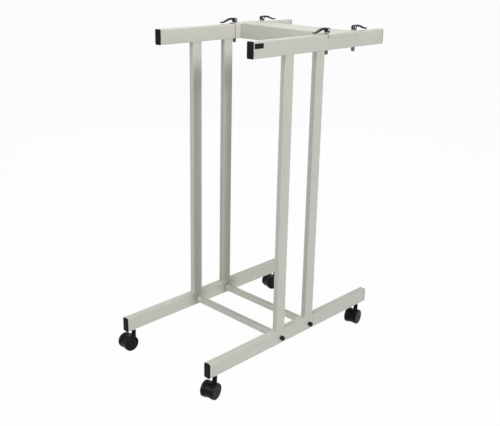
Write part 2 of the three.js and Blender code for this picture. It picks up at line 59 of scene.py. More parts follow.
ARM_DRILL, RAIL_DRILL = 80 * MM, 40 * MM
BEAD_RADIUS = 1.6 * MM
joints = {joint["name"]: joint for joint in frame["joints"]}


def from_hex(code):
    """An sRGB hex colour as the linear colour that a shader takes."""
    parts = [int(code[i : i + 2], 16) / 255 for i in (1, 3, 5)]
    return [p / 12.92 if p <= 0.04045 else ((p + 0.055) / 1.055) ** 2.4 for p in parts] + [1.0]


def add_node(tree, kind, values=(), links=(), **settings):
    """Adds one shader node, with its options, its sockets' values and the sockets that feed it."""
    node = tree.nodes.new(kind)
    for name, value in settings.items():
        setattr(node, name, value)
    for socket, value in dict(values).items():
        node.inputs[socket].default_value = value
    for socket, source in dict(links).items():
        tree.links.new(source, node.inputs[socket])
    return node


def new_finish(name, values):
    """A new material with its shader's plain values set, and its tree, shader and coordinates."""
    finish = bpy.data.materials.new(name)
    finish.use_nodes = True
    tree = finish.node_tree
    shader = tree.nodes["Principled BSDF"]
    for socket, value in values.items():
        shader.inputs[socket].default_value = value
    coordinates = add_node(tree, "ShaderNodeTexCoord").outputs["Object"]
    return finish, tree, shader, coordinates


# Polyester powder coat, light warm grey: sprayed dry and baked, so it flows into a faint orange
# peel. The peel is about 2 mm across and is drawn at 4 mm so that it shows. The tone drifts with
# the thickness of the film, over about 180 mm.
powder_coat, tree, shader, place = new_finish("polyester_powder_coat", {"IOR": 1.5})
film = add_node(
    tree, "ShaderNodeTexNoise", {"Scale": 1 / (180 * MM), "Detail": 2.0}, {"Vector": place}
).outputs["Fac"]
peel = add_node(
    tree, "ShaderNodeTexNoise", {"Scale": 1 / (4 * MM), "Detail": 1.0}, {"Vector": place}
).outputs["Fac"]
tone = add_node(
    tree,
    "ShaderNodeMix",
    {6: from_hex("#CECDC3"), 7: from_hex("#D8D7CE")},
    {"Factor": film},
    data_type="RGBA",
).outputs[2]
gloss = add_node(
    tree, "ShaderNodeMapRange", {"To Min": 0.4, "To Max": 0.52}, {"Value": peel}
).outputs["Result"]
skin = add_node(
    tree, "ShaderNodeBump", {"Strength": 0.22, "Distance": 0.3 * MM}, {"Height": peel}
).outputs["Normal"]
tree.links.new(tone, shader.inputs["Base Color"])
tree.links.new(gloss, shader.inputs["Roughness"])
tree.links.new(skin, shader.inputs["Normal"])


def activate(piece):
    """Makes a piece the only selected one."""
    bpy.ops.object.select_all(action="DESELECT")
    piece.select_set(True)
    bpy.context.view_layer.objects.active = piece
    return piece


def begin(kind, stretch=(1, 1, 1), **settings):
    """Adds a primitive at its size and place, alone in the selection, and opens it for editing."""
    bpy.ops.object.select_all(action="DESELECT")
    getattr(bpy.ops.mesh, f"primitive_{kind}_add")(**settings)
    bpy.ops.object.transform_apply()
    bpy.ops.object.mode_set(mode="EDIT")
    bpy.ops.transform.resize(value=stretch, center_override=settings.get("location", (0, 0, 0)))


def pick(kind, test):
    """Selects the open mesh's faces, edges or vertices whose place and direction pass a test."""
    bpy.ops.mesh.select_mode(type=kind)
    bpy.ops.mesh.select_all(action="DESELECT")
    mesh = bmesh.from_edit_mesh(bpy.context.object.data)
    for item in {"FACE": mesh.faces, "EDGE": mesh.edges, "VERT": mesh.verts}[kind]:
        if kind == "FACE":
            where, way = item.calc_center_median(), item.normal
        elif kind == "EDGE":
            ends = [vertex.co for vertex in item.verts]
            where, way = (ends[0] + ends[1]) / 2, (ends[1] - ends[0]).normalized()
        else:
            where, way = item.co, item.normal
        item.select_set(bool(test(where, way)))
    mesh.select_flush_mode()
    bmesh.update_edit_mesh(bpy.context.object.data)


def modify(kind, **settings):
    """Adds a modifier to the open piece and applies it."""
    bpy.ops.object.mode_set(mode="OBJECT")
    bpy.ops.object.modifier_add(type=kind)
    modifier = bpy.context.object.modifiers[-1]
    for name, value in settings.items():
        setattr(modifier, name, value)
    bpy.ops.object.modifier_apply(modifier=modifier.name)


def close_mesh():
    """Leaves edit mode and gives the piece that was open."""
    bpy.ops.object.mode_set(mode="OBJECT")
    return bpy.context.object


def combine(piece, tool, operation):
    """Joins a tool to a piece, or cuts it away, and deletes the tool."""
    activate(piece)
    modify("BOOLEAN", object=tool, operation=operation)
    bpy.data.objects.remove(tool)


# The turn that lays a new cylinder along each axis
TURNS = {"X": (0, math.pi / 2, 0), "Y": (math.pi / 2, 0, 0), "Z": (0, 0, 0)}


def drill(piece, where, axis, diameter, depth):
    """Bores a round hole of that depth, centred on a point."""
    begin(
        "cylinder",
        vertices=32,
        radius=diameter / 2,
        depth=depth,
        location=where,
        rotation=TURNS[axis],
    )
    combine(piece, close_mesh(), "DIFFERENCE")


def fit(piece, name, finish, body, slot, *nodes, angle=35):
    """Names a finished piece, gives it its material and body, and hides the nodes it replaces."""
    close_mesh()
    activate(piece).name = name
    piece.data.materials.clear()
    piece.data.materials.append(finish)
    bpy.ops.object.shade_smooth_by_angle(angle=math.radians(angle))
    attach(piece, body)
    if nodes:
        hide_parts(*nodes)


def hollow_section(node, along, wall, corner):
    """A rectangular tube in a node's box: ends opened, long edges rolled, wall given inwards."""
    low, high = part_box(node)
    begin("cube", size=1, location=(low + high) / 2, stretch=high - low)
    pick("FACE", lambda where, way: abs(way[along]) > 0.5)
    bpy.ops.mesh.delete(type="ONLY_FACE")
    pick("EDGE", lambda where, way: abs(way[along]) > 0.5)
    bpy.ops.mesh.bevel(offset=corner, segments=6, affect="EDGES")
    modify("SOLIDIFY", thickness=wall, offset=-1)
    return bpy.context.object


def weld_bead(name, low, high, z):
    """A fillet weld run once round an upright at one height."""
    middle = (low + high) / 2
    begin(
        "plane",
        size=1,
        location=(middle.x, middle.y, z),
        stretch=(high.x - low.x, high.y - low.y, 1),
    )
    bpy.ops.mesh.bevel(offset=UPRIGHT_CORNER, segments=4, affect="VERTICES")
    bpy.ops.mesh.delete(type="ONLY_FACE")
    close_mesh()
    bpy.ops.object.convert(target="CURVE")
    bpy.context.object.data.bevel_depth = BEAD_RADIUS
    bpy.context.object.data.bevel_resolution = 3
    bpy.ops.object.convert(target="MESH")
    fit(bpy.context.object, name, powder_coat, "frame", "powder_coat", angle=80)


for side in SIDES:
    arm = hollow_section(f"{side}_arm", Y, BEAM_WALL, BEAM_CORNER)
    rail = hollow_section(f"{side}_rail", Y, BEAM_WALL, BEAM_CORNER)
    arm_low, arm_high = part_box(f"{side}_arm")
    rail_low, rail_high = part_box(f"{side}_rail")
    for end in ENDS:
        x, y, _ = joints[f"{side}_{end}_clamp_release"]["pos_m"]
        drill(arm, (x, y, (arm_low.z + arm_high.z) / 2), "Z", ROD_HOLE, ARM_DRILL)
        x, y, _ = joints[f"{side}_{end}_swivel"]["pos_m"]
        drill(rail, (x, y, rail_low.z), "Z", STEM_HOLE, 4 * BEAM_WALL)
        tube_low, tube_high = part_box(f"{end}_cross_tube")
        axis = (tube_low + tube_high) / 2
        drill(rail, (x, axis.y, axis.z), "X", BOLT_HOLE, RAIL_DRILL)
        node = f"{side}_{end}_upright"
        low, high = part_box(node)
        upright = hollow_section(node, Z, UPRIGHT_WALL, UPRIGHT_CORNER)
        fit(upright, f"{node}_tube", powder_coat, "frame", "powder_coat", node)
        weld_bead(f"{node}_foot_weld", low, high, low.z)
        weld_bead(f"{node}_head_weld", low, high, high.z)
    fit(arm, f"{side}_arm_tube", powder_coat, "frame", "powder_coat", f"{side}_arm")
    fit(rail, f"{side}_rail_tube", powder_coat, "frame", "powder_coat", f"{side}_rail")

# Bare plate
# A thin strip of black anodised aluminium with a raised rim, stuck to the outer face of the right
# arm just behind its front cap. It carries nothing.
PLATE_LENGTH, PLATE_HEIGHT, PLATE_THICKNESS = 37 * MM, 15 * MM, 0.6 * MM
PLATE_INSET, PLATE_DROP = 3.5 * MM, 6 * MM
PLATE_CORNER, PLATE_RIM, PLATE_SINK = 1.5 * MM, 0.9 * MM, 0.2 * MM

# Black anodising keeps the sheet's brushed grain: fine lines along its length, drawn 0.8 mm apart.
anodised, tree, shader, place = new_finish(
    "black_anodised_aluminium", {"Metallic": 0.2, "Roughness": 0.5, "Specular IOR Level": 0.15}
)
stretched = add_node(
    tree, "ShaderNodeMapping", {"Scale": (1.0, 0.05, 1.0)}, {"Vector": place}
).outputs["Vector"]
brushed = add_node(
    tree, "ShaderNodeTexNoise", {"Scale": 1 / (0.8 * MM), "Detail": 2.0}, {"Vector": stretched}
).outputs["Fac"]
tone = add_node(
    tree,
    "ShaderNodeMix",
    {6: from_hex("#0B0B0C"), 7: from_hex("#171718")},
    {"Factor": brushed},
    data_type="RGBA",
).outputs[2]
tree.links.new(tone, shader.inputs["Base Color"])

arm_low, arm_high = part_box("right_arm")
begin(
    "cube",
    size=1,
    location=(
        arm_high.x + PLATE_THICKNESS / 2,
        arm_low.y + PLATE_INSET + PLATE_LENGTH / 2,
        arm_high.z - PLATE_DROP - PLATE_HEIGHT / 2,
    ),
    stretch=(PLATE_THICKNESS, PLATE_LENGTH, PLATE_HEIGHT),
)
pick("EDGE", lambda where, way: abs(way.x) > 0.9)
bpy.ops.mesh.bevel(offset=PLATE_CORNER, segments=4, affect="EDGES")
pick("FACE", lambda where, way: way.x > 0.9)
bpy.ops.mesh.inset(thickness=PLATE_RIM)
bpy.ops.mesh.inset(thickness=PLATE_SINK, depth=-PLATE_SINK)
fit(bpy.context.object, "bare_plate", anodised, "frame", "black_cap")

# End caps
# Eight push-in caps of black polyethylene close the arms and rails: a flange as big as the tube,
# with rounded edges, and a hollow spigot that grips the bore.
CAP_EDGE, SPIGOT_STEP, SPIGOT_LENGTH, SPIGOT_WALL = 1 * MM, 2.3 * MM, 14 * MM, 1.5 * MM
NEAR = 0.01 * MM  # a point this close to a plane is taken to lie on it

# Moulded polyethylene takes the spark-eroded grain of its tool: a soft satin, with a grit of 0.3 mm
# that is drawn at 1.5 mm so that it shows.
black_moulding, tree, shader, place = new_finish(
    "black_polyethylene_moulding", {"IOR": 1.5, "Specular IOR Level": 0.1}
)
grain = add_node(
    tree, "ShaderNodeTexNoise", {"Scale": 1 / (1.5 * MM), "Detail": 3.0}, {"Vector": place}
).outputs["Fac"]
tone = add_node(
    tree,
    "ShaderNodeMix",
    {6: from_hex("#0C0C0D"), 7: from_hex("#151516")},
    {"Factor": grain},
    data_type="RGBA",
).outputs[2]
gloss = add_node(
    tree, "ShaderNodeMapRange", {"To Min": 0.45, "To Max": 0.65}, {"Value": grain}
).outputs["Result"]
skin = add_node(
    tree, "ShaderNodeBump", {"Strength": 0.3, "Distance": 0.2 * MM}, {"Height": grain}
).outputs["Normal"]
tree.links.new(tone, shader.inputs["Base Color"])
tree.links.new(gloss, shader.inputs["Roughness"])
tree.links.new(skin, shader.inputs["Normal"])


def copy_to(pattern, where, name, finish, body, slot, *nodes, angle=35):
    """Copies a pattern piece, with a mesh of its own, to its place on the rack."""
    activate(pattern)
    bpy.ops.object.duplicate()
    piece = bpy.context.object
    piece.matrix_world = where
    bpy.ops.object.transform_apply()
    fit(piece, name, finish, body, slot, *nodes, angle=angle)


low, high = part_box("right_arm_front_cap")
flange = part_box("right_arm")[0].y - low.y
begin(
    "cube",
    size=1,
    location=(0, -flange / 2, 0),
    stretch=(high.x - low.x, flange, high.z - low.z),
)
pick("EDGE", lambda where, way: abs(way.y) > 0.9)
bpy.ops.mesh.bevel(offset=BEAM_CORNER, segments=6, affect="EDGES")
pick("EDGE", lambda where, way: where.y < -flange + NEAR)
bpy.ops.mesh.bevel(offset=CAP_EDGE, segments=3, affect="EDGES")
pick("FACE", lambda where, way: way.y > 0.9)
bpy.ops.mesh.inset(thickness=SPIGOT_STEP)
bpy.ops.mesh.extrude_region_move(TRANSFORM_OT_translate={"value": (0, SPIGOT_LENGTH, 0)})
bpy.ops.mesh.inset(thickness=SPIGOT_WALL)
bpy.ops.mesh.extrude_region_move(TRANSFORM_OT_translate={"value": (0, -SPIGOT_LENGTH, 0)})
cap = close_mesh()
for side in SIDES:
    for beam in ("arm", "rail"):
        low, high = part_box(f"{side}_{beam}")
        middle = (low + high) / 2
        for end, sign in ENDS.items():
            node = f"{side}_{beam}_{end}_cap"
            where = Vector((middle.x, low.y if sign < 0 else high.y, middle.z))
            turn = Matrix.Rotation(0 if sign < 0 else math.pi, 4, "Z")
            copy_to(
                cap,
                Matrix.Translation(where) @ turn,
                f"{node}_moulding",
                black_moulding,
                "frame",
                "black_cap",
                node,
            )
bpy.data.objects.remove(cap)

# Cross tubes
# Two lengths of 25.4 mm round steel tube tie the rails together. Each end is rolled into a groove
# behind its threaded plug, and the tube is powder coated like the side frames.
TUBE_WALL, CRIMP_INSET, CRIMP_WIDTH, CRIMP_DEPTH = 1.6 * MM, 12 * MM, 2 * MM, 0.5 * MM
for end in ENDS:
    low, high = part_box(f"{end}_cross_tube")
    middle, radius = (low + high) / 2, (high.z - low.z) / 2
    begin(
        "cylinder",
        vertices=64,
        radius=radius,
        depth=high.x - low.x,
        location=middle,
        rotation=TURNS["X"],
    )
    pick("FACE", lambda where, way: abs(way.x) > 0.9)
    bpy.ops.mesh.delete(type="ONLY_FACE")
    for sign in SIDES.values():
        crimp = sign * ((high.x - low.x) / 2 - CRIMP_INSET)
        for step in (-1, -0.5, 0, 0.5, 1):
            bpy.ops.mesh.select_all(action="SELECT")
            bpy.ops.mesh.bisect(plane_co=(crimp + step * CRIMP_WIDTH / 2, 0, 0), plane_no=(1, 0, 0))
        # Each ring's place across the groove, and the part of its depth there
        for step, part in ((-0.5, 0.5), (0, 1), (0.5, 0.5)):
            ring = crimp + step * CRIMP_WIDTH / 2
            pick("VERT", lambda where, way: abs(where.x - ring) < NEAR)
            shrink = 1 - part * CRIMP_DEPTH / radius
            bpy.ops.transform.resize(value=(1, shrink, shrink), center_override=middle)
    modify("SOLIDIFY", thickness=TUBE_WALL, offset=-1)
    fit(bpy.context.object, f"{end}_tube", powder_coat, "frame", "powder_coat", f"{end}_cross_tube")

# Tube plugs, bolts and washers
# A black nylon plug with a thin flange closes each tube end and holds a threaded insert. A black
# socket-head bolt goes through the rail into it, with a bright zinc washer under its head.
PLUG_LENGTH, PLUG_STEP, PLUG_BORE, PLUG_EDGE = 10.5 * MM, 1.9 * MM, 8.6 * MM, 0.3 * MM
HEAD_DIAMETER, HEAD_HEIGHT, HEAD_EDGE = 16 * MM, 10 * MM, 0.8 * MM
KNURL_ANGLE, KNURL_LAND, KNURL_DEPTH = 7.5, 0.05 * MM, 0.15 * MM
SHANK_DIAMETER, SHANK_TAIL = 8 * MM, 3 * MM
SOCKET_WIDTH, SOCKET_DEPTH = 8 * MM, 5 * MM
WASHER_DIAMETER, WASHER_THICKNESS, WASHER_EDGE = 21 * MM, 2 * MM, 0.25 * MM

# Black-oxide steel: a thin brown-black film over turned metal, half matt, with oil-dark patches
# 6 mm across.
black_oxide, tree, shader, place = new_finish("black_oxide_steel", {"Metallic": 0.7})
patches = add_node(
    tree, "ShaderNodeTexNoise", {"Scale": 1 / (6 * MM), "Detail": 3.0}, {"Vector": place}
).outputs["Fac"]
tone = add_node(
    tree,
    "ShaderNodeMix",
    {6: from_hex("#161617"), 7: from_hex("#2B2A2A")},
    {"Factor": patches},
    data_type="RGBA",
).outputs[2]
gloss = add_node(
    tree, "ShaderNodeMapRange", {"To Min": 0.35, "To Max": 0.55}, {"Value": patches}
).outputs["Result"]
tree.links.new(tone, shader.inputs["Base Color"])
tree.links.new(gloss, shader.inputs["Roughness"])

# Zinc-plated steel: bright and slightly blue, clouded by passivation in spangles about 3 mm across.
zinc_plate, tree, shader, place = new_finish("zinc_plated_steel", {"Metallic": 1.0})
spangle = add_node(
    tree, "ShaderNodeTexVoronoi", {"Scale": 1 / (3 * MM)}, {"Vector": place}
).outputs["Distance"]
tone = add_node(
    tree,
    "ShaderNodeMix",
    {6: from_hex("#DADDE0"), 7: from_hex("#C4C8CC")},
    {"Factor": spangle},
    data_type="RGBA",
).outputs[2]
gloss = add_node(
    tree, "ShaderNodeMapRange", {"To Min": 0.24, "To Max": 0.4}, {"Value": spangle}
).outputs["Result"]
tree.links.new(tone, shader.inputs["Base Color"])
tree.links.new(gloss, shader.inputs["Roughness"])


def soften(width, angle):
    """Rounds the edges of the open piece that are sharper than an angle in degrees."""
    modify(
        "BEVEL",
        width=width,
        segments=2,
        limit_method="ANGLE",
        angle_limit=math.radians(angle),
    )


plug_low, plug_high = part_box("right_front_tube_plug")
plug_flange = plug_high.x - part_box("front_cross_tube")[1].x
begin(
    "cylinder",
    vertices=64,
    radius=(plug_high.z - plug_low.z) / 2,
    depth=plug_flange,
    location=(-plug_flange / 2, 0, 0),
    rotation=TURNS["X"],
)
pick("FACE", lambda where, way: way.x < -0.9)
bpy.ops.mesh.inset(thickness=PLUG_STEP)
bpy.ops.mesh.extrude_region_move(TRANSFORM_OT_translate={"value": (-PLUG_LENGTH, 0, 0)})
plug = close_mesh()
drill(plug, (0, 0, 0), "X", PLUG_BORE, 4 * PLUG_LENGTH)
activate(plug)
soften(PLUG_EDGE, angle=50)

# The washer lies on the rail at x = 0. Every second facet round the head is sunk, as a knurl.
rail_low, rail_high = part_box("right_rail")
rail_and_plug = rail_high.x - rail_low.x + plug_high.x - plug_low.x
shank = WASHER_THICKNESS + rail_and_plug + SHANK_TAIL
head_top = WASHER_THICKNESS + HEAD_HEIGHT
begin(
    "cylinder",
    vertices=48,
    radius=HEAD_DIAMETER / 2,
    depth=HEAD_HEIGHT,
    location=(WASHER_THICKNESS + HEAD_HEIGHT / 2, 0, 0),
    rotation=TURNS["X"],
)
pick("EDGE", lambda where, way: where.x > head_top - NEAR)
bpy.ops.mesh.bevel(offset=HEAD_EDGE, segments=3, affect="EDGES")
pick(
    "FACE",
    lambda where, way: abs(way.x) < 0.1
    and math.degrees(math.atan2(way.z, way.y)) // KNURL_ANGLE % 2,
)
bpy.ops.mesh.inset(thickness=KNURL_LAND, depth=-KNURL_DEPTH, use_individual=True)
pick("FACE", lambda where, way: where.x < WASHER_THICKNESS + NEAR)
bpy.ops.mesh.inset(thickness=(HEAD_DIAMETER - SHANK_DIAMETER) / 2)
bpy.ops.mesh.extrude_region_move(TRANSFORM_OT_translate={"value": (-shank, 0, 0)})
bolt = close_mesh()
begin(
    "cylinder",
    vertices=6,
    radius=SOCKET_WIDTH / math.sqrt(3),
    depth=2 * SOCKET_DEPTH,
    location=(head_top, 0, 0),
    rotation=TURNS["X"],
)
combine(bolt, close_mesh(), "DIFFERENCE")

begin(
    "cylinder",
    vertices=64,
    radius=WASHER_DIAMETER / 2,
    depth=WASHER_THICKNESS,
    location=(WASHER_THICKNESS / 2, 0, 0),
    rotation=TURNS["X"],
)
washer = close_mesh()
drill(washer, (0, 0, 0), "X", BOLT_HOLE, 4 * WASHER_THICKNESS)
activate(washer)
soften(WASHER_EDGE, angle=50)

for end in ENDS:
    low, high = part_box(f"{end}_cross_tube")
    axis = (low + high) / 2
    for side, sign in SIDES.items():
        rail_low, rail_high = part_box(f"{side}_rail")
        inner, outer = (rail_low.x, rail_high.x) if sign > 0 else (rail_high.x, rail_low.x)
        turn = Matrix.Rotation(0 if sign > 0 else math.pi, 4, "Z")
        at_inner = Matrix.Translation((inner, axis.y, axis.z)) @ turn
        at_outer = Matrix.Translation((outer, axis.y, axis.z)) @ turn
        key = f"{side}_{end}"
        node = f"{key}_tube_plug"
        copy_to(plug, at_inner, f"{key}_plug", black_moulding, "frame", "black_plug", node)
        node = f"{key}_tube_bolt"
        copy_to(bolt, at_outer, f"{key}_bolt", black_oxide, "frame", "black_bolt", node)
        copy_to(washer, at_outer, f"{key}_washer", zinc_plate, "frame", "zinc", node)
for pattern in (plug, bolt, washer):
    bpy.data.objects.remove(pattern)

# Bridge
# A channel of 3 mm steel sheet spans the bay behind the uprights. A folded saddle is welded to each
# end: it drops over the arm, full height inside and with a short lip outside. Powder coated as one.
SHEET, FOLD, SHEET_EDGE = 3 * MM, 5 * MM, 0.4 * MM
SADDLE_CLEARANCE, SADDLE_LIP, SADDLE_LENGTH = 1.5 * MM, 12 * MM, 160 * MM
SADDLE_DRILL = 20 * MM
CHANNEL_DEPTH = 112 * MM
low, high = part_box("bridge")
arm_low, arm_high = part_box("right_arm")
bridge_middle, bridge_top, leg = (low.y + high.y) / 2, high.z, high.z - low.z
inner = arm_low.x - SADDLE_CLEARANCE - SHEET
outer = arm_high.x + SADDLE_CLEARANCE + SHEET


def fold_sheet(corner, reach, fold_along, drops):
    """A sheet with two opposite edges folded down by those drops, rounded at the folds."""
    begin(
        "plane",
        size=1,
        location=((corner[0] + reach[0]) / 2, (corner[1] + reach[1]) / 2, bridge_top),
        stretch=(reach[0] - corner[0], reach[1] - corner[1], 1),
    )
    across = 1 - fold_along
    edges = corner[across], reach[across]
    for edge, drop in zip(edges, drops):
        pick(
            "EDGE",
            lambda where, way: abs(where[across] - edge) < NEAR and where.z > bridge_top - NEAR,
        )
        bpy.ops.mesh.extrude_region_move(TRANSFORM_OT_translate={"value": (0, 0, -drop)})
    bpy.ops.mesh.select_all(action="SELECT")
    bpy.ops.mesh.normals_make_consistent(inside=False)
    pick(
        "EDGE",
        lambda where, way: abs(way[fold_along]) > 0.9
        and where.z > bridge_top - NEAR
        and min(abs(where[across] - edge) for edge in edges) < NEAR,
    )
    bpy.ops.mesh.bevel(offset=FOLD, segments=8, affect="EDGES")
    modify("SOLIDIFY", thickness=SHEET, offset=-1)
    soften(SHEET_EDGE, angle=60)
    return bpy.context.object


span = inner + SHEET / 2
channel = fold_sheet(
    (-span, bridge_middle - CHANNEL_DEPTH / 2),
    (span, bridge_middle + CHANNEL_DEPTH / 2),
    X,
    (leg, leg),
)
fit(channel, "bridge_channel", powder_coat, "frame", "powder_coat", "bridge")
saddle = fold_sheet(
    (inner, bridge_middle - SADDLE_LENGTH / 2),
    (outer, bridge_middle + SADDLE_LENGTH / 2),
    Y,
    (leg, SHEET + SADDLE_LIP),
)
for end in ENDS:
    x, y, _ = joints[f"right_{end}_clamp_release"]["pos_m"]
    drill(saddle, (x, y, bridge_top), "Z", ROD_HOLE, SADDLE_DRILL)
about = Matrix.Translation((0, bridge_middle, 0))
half_turn = about @ Matrix.Rotation(math.pi, 4, "Z") @ about.inverted()
copy_to(saddle, Matrix.Identity(4), "right_saddle", powder_coat, "frame", "powder_coat", "bridge")
copy_to(saddle, half_turn, "left_saddle", powder_coat, "frame", "powder_coat", "bridge")
bpy.data.objects.remove(saddle)

# Clamp skewers, seats and nuts
# Each quick-release clamp pulls on a 5 mm zinc-plated rod through saddle and arm. A cross barrel on
# its top is the cam's pivot, a cradle washer takes the cam, and a turned nut with two flats holds
# the rod below.
ROD_DIAMETER, ROD_TAIL, ROD_EDGE = 5 * MM, 2 * MM, 0.6 * MM
BARREL_DIAMETER, BARREL_LENGTH, BARREL_EDGE = 7 * MM, 13.4 * MM, 0.3 * MM
BARREL_RIM, BARREL_LAND, DIMPLE_WALL, DIMPLE_DEPTH = 0.6 * MM, 1.4 * MM, 0.4 * MM, 0.5 * MM
SEAT_DIAMETER, SEAT_HEIGHT, SEAT_EDGE = 15.5 * MM, 3.2 * MM, 0.35 * MM
CAM_RADIUS, CAM_SHIFT, CAM_CLEARANCE = 7.4 * MM, 1 * MM, 0.4 * MM
NUT_DIAMETER, NUT_HEIGHT, NUT_FLATS = 12 * MM, 14 * MM, 10.4 * MM
NUT_COLLAR, NUT_COLLAR_HEIGHT = 13 * MM, 2.5 * MM
NUT_CHAMFER, NUT_EDGE = 1 * MM, 0.25 * MM

# Die-cast zinc alloy, barrel polished: even grey metal with a faint cloudy cast skin, in clouds
# 5 mm across.
cast_alloy, tree, shader, place = new_finish("barrelled_cast_alloy", {"Metallic": 0.9})
clouds = add_node(
    tree, "ShaderNodeTexNoise", {"Scale": 1 / (5 * MM), "Detail": 3.0}, {"Vector": place}
).outputs["Fac"]
tone = add_node(
    tree,
    "ShaderNodeMix",
    {6: from_hex("#77797B"), 7: from_hex("#94969A")},
    {"Factor": clouds},
    data_type="RGBA",
).outputs[2]
gloss = add_node(
    tree, "ShaderNodeMapRange", {"To Min": 0.3, "To Max": 0.5}, {"Value": clouds}
).outputs["Result"]
tree.links.new(tone, shader.inputs["Base Color"])
tree.links.new(gloss, shader.inputs["Roughness"])

# Turned steel, oiled: grey metal with faint tool rings round its axis, 0.2 mm apart and drawn
# 1.2 mm apart so that they show. The wave's bands repeat every pi / 10 of its own unit.
RING_PITCH = 1.2 * MM
turned_steel, tree, shader, place = new_finish("turned_steel", {"Metallic": 1.0})
rings = add_node(
    tree,
    "ShaderNodeTexWave",
    {"Scale": math.pi / (10 * RING_PITCH), "Distortion": 0.6, "Detail": 1.0},
    {"Vector": place},
    bands_direction="Z",
).outputs["Fac"]
tone = add_node(
    tree,
    "ShaderNodeMix",
    {6: from_hex("#5E5F61"), 7: from_hex("#6D6E70")},
    {"Factor": rings},
    data_type="RGBA",
).outputs[2]
gloss = add_node(
    tree, "ShaderNodeMapRange", {"To Min": 0.3, "To Max": 0.36}, {"Value": rings}
).outputs["Result"]
tree.links.new(tone, shader.inputs["Base Color"])
tree.links.new(gloss, shader.inputs["Roughness"])

pivot = Vector(joints["right_front_clamp_release"]["pos_m"])
nut_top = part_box("right_arm")[0].z - pivot.z
seat_foot = bridge_top - pivot.z

begin(
    "cylinder",
    vertices=48,
    radius=BARREL_DIAMETER / 2,
    depth=BARREL_LENGTH,
    rotation=TURNS["X"],
)
pick("FACE", lambda where, way: abs(way.x) > 0.9)
bpy.ops.mesh.inset(thickness=BARREL_RIM, use_individual=True)
bpy.ops.mesh.inset(thickness=BARREL_LAND, use_individual=True)
bpy.ops.mesh.inset(thickness=DIMPLE_WALL, depth=-DIMPLE_DEPTH, use_individual=True)
soften(BARREL_EDGE, angle=50)
skewer = bpy.context.object
rod_length = NUT_HEIGHT + ROD_TAIL - nut_top
begin(
    "cylinder",
    vertices=32,
    radius=ROD_DIAMETER / 2,
    depth=rod_length,
    location=(0, 0, -rod_length / 2),
)
pick("EDGE", lambda where, way: where.z < -rod_length + NEAR)
bpy.ops.mesh.bevel(offset=ROD_EDGE, segments=2, affect="EDGES")
combine(skewer, close_mesh(), "UNION")

begin(
    "cylinder",
    vertices=64,
    radius=SEAT_DIAMETER / 2,
    depth=SEAT_HEIGHT,
    location=(0, 0, seat_foot + SEAT_HEIGHT / 2),
)
seat = close_mesh()
drill(seat, (0, 0, -CAM_SHIFT), "X", 2 * (CAM_RADIUS + CAM_CLEARANCE), 2 * SEAT_DIAMETER)
drill(seat, (0, 0, seat_foot), "Z", ROD_HOLE, 4 * SEAT_HEIGHT)
activate(seat)
soften(SEAT_EDGE, angle=40)

begin(
    "cylinder",
    vertices=64,
    radius=NUT_DIAMETER / 2,
    depth=NUT_HEIGHT,
    location=(0, 0, nut_top - NUT_HEIGHT / 2),
)
pick("EDGE", lambda where, way: where.z < nut_top - NUT_HEIGHT + NEAR)
bpy.ops.mesh.bevel(offset=NUT_CHAMFER, segments=1, affect="EDGES")
nut = close_mesh()
below_collar = nut_top - NUT_COLLAR_HEIGHT - NUT_HEIGHT / 2
for sign in SIDES.values():
    begin(
        "cube",
        size=1,
        location=(sign * (NUT_FLATS + NUT_DIAMETER) / 2, 0, below_collar),
        stretch=(NUT_DIAMETER, 2 * NUT_DIAMETER, NUT_HEIGHT),
    )
    combine(nut, close_mesh(), "DIFFERENCE")
begin(
    "cylinder",
    vertices=64,
    radius=NUT_COLLAR / 2,
    depth=NUT_COLLAR_HEIGHT,
    location=(0, 0, nut_top - NUT_COLLAR_HEIGHT / 2),
)
combine(nut, close_mesh(), "UNION")
drill(nut, (0, 0, nut_top), "Z", ROD_HOLE, 4 * NUT_HEIGHT)
activate(nut)
soften(NUT_EDGE, angle=40)

clamp_places = {}
for side in SIDES:
    for end, sign in ENDS.items():
        key = f"{side}_{end}"
        turn = Matrix.Rotation(0 if sign < 0 else math.pi, 4, "Z")
        where = Matrix.Translation(joints[f"{key}_clamp_release"]["pos_m"]) @ turn
        clamp_places[key] = where
        copy_to(skewer, where, f"{key}_skewer_rod", zinc_plate, "frame", "zinc", f"{key}_skewer")
        copy_to(seat, where, f"{key}_cradle", cast_alloy, "frame", "grey_alloy", f"{key}_cam_seat")
        copy_to(nut, where, f"{key}_nut", turned_steel, "frame", "dark_steel", f"{key}_clamp_nut")
for pattern in (skewer, seat, nut):
    bpy.data.objects.remove(pattern)

# Cam levers
# One aluminium casting each: two eccentric cheeks astride the rod and an S-shaped blade that thins
# to an upturned tip. It is tumbled, so no edge is sharp, and anodised black.
CHEEK_WIDTH, CHEEK_GAP = 3.8 * MM, 5.8 * MM
BARREL_CLEARANCE, ROOT_START = 0.2 * MM, 3 * MM
BLADE_EDGE, LEVER_GRID = 1.4 * MM, 0.45 * MM
# Along the lever, rise above the pivot, width and thickness, in millimetres
BLADE = [
    (6, 3.2, 12.6, 6.8),
    (15.2, 4, 12.6, 6.8),
    (23, 3.7, 11, 6.8),
    (31, 1.9, 9.6, 6.5),
    (40, -1.3, 9.4, 6),
    (48.3, -4.5, 9.8, 5.5),
    (59.3, -7.2, 11, 4.8),
    (65.5, -6.7, 9, 4.2),
    (70, -5.6, 6, 3.6),
]

